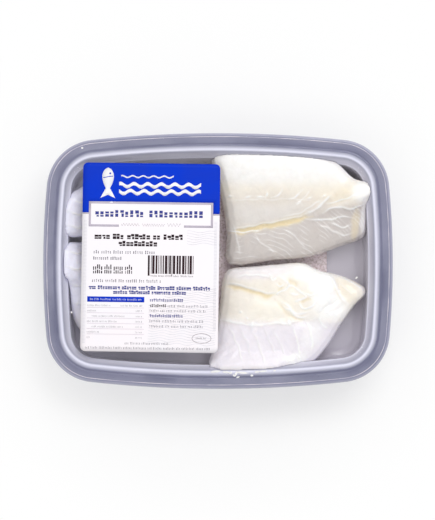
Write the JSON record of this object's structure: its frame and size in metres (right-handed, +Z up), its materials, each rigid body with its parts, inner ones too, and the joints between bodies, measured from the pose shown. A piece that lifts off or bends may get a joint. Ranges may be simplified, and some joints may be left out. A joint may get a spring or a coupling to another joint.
{
  "type": "sealed tray of desalted cod pieces",
  "caption": "Shallow translucent plastic tray with a heat-sealed clear film lid and a paper label, holding pieces of desalted cod loin on an absorbent pad.",
  "frame": {"origin": "middle of the tray's underside, which rests on the table", "axes": "+X along the tray's long side, away from the labelled half; +Y across the tray, away from the reader of the label; +Z up"},
  "size_m": [0.187, 0.137, 0.026],
  "materials": {
    "tray": "translucent grey thermoformed polypropylene, glossy",
    "film": "clear glossy lidding film with faint wrinkles",
    "label": "smooth white label paper printed in blue and black fields",
    "pad": "damp absorbent pad with a fine grain",
    "cod": "moist white flaky flesh with cream and bluish-white areas, softly glossy"
  },
  "bodies": {
    "root": {"tray": "tray", "film_lid": "film", "label": "label", "absorbent_pad": "pad", "cod_upper_right": "cod", "cod_lower_right": "cod", "cod_upper_left": "cod", "cod_lower_left": "cod"}
  },
  "joints": []
}
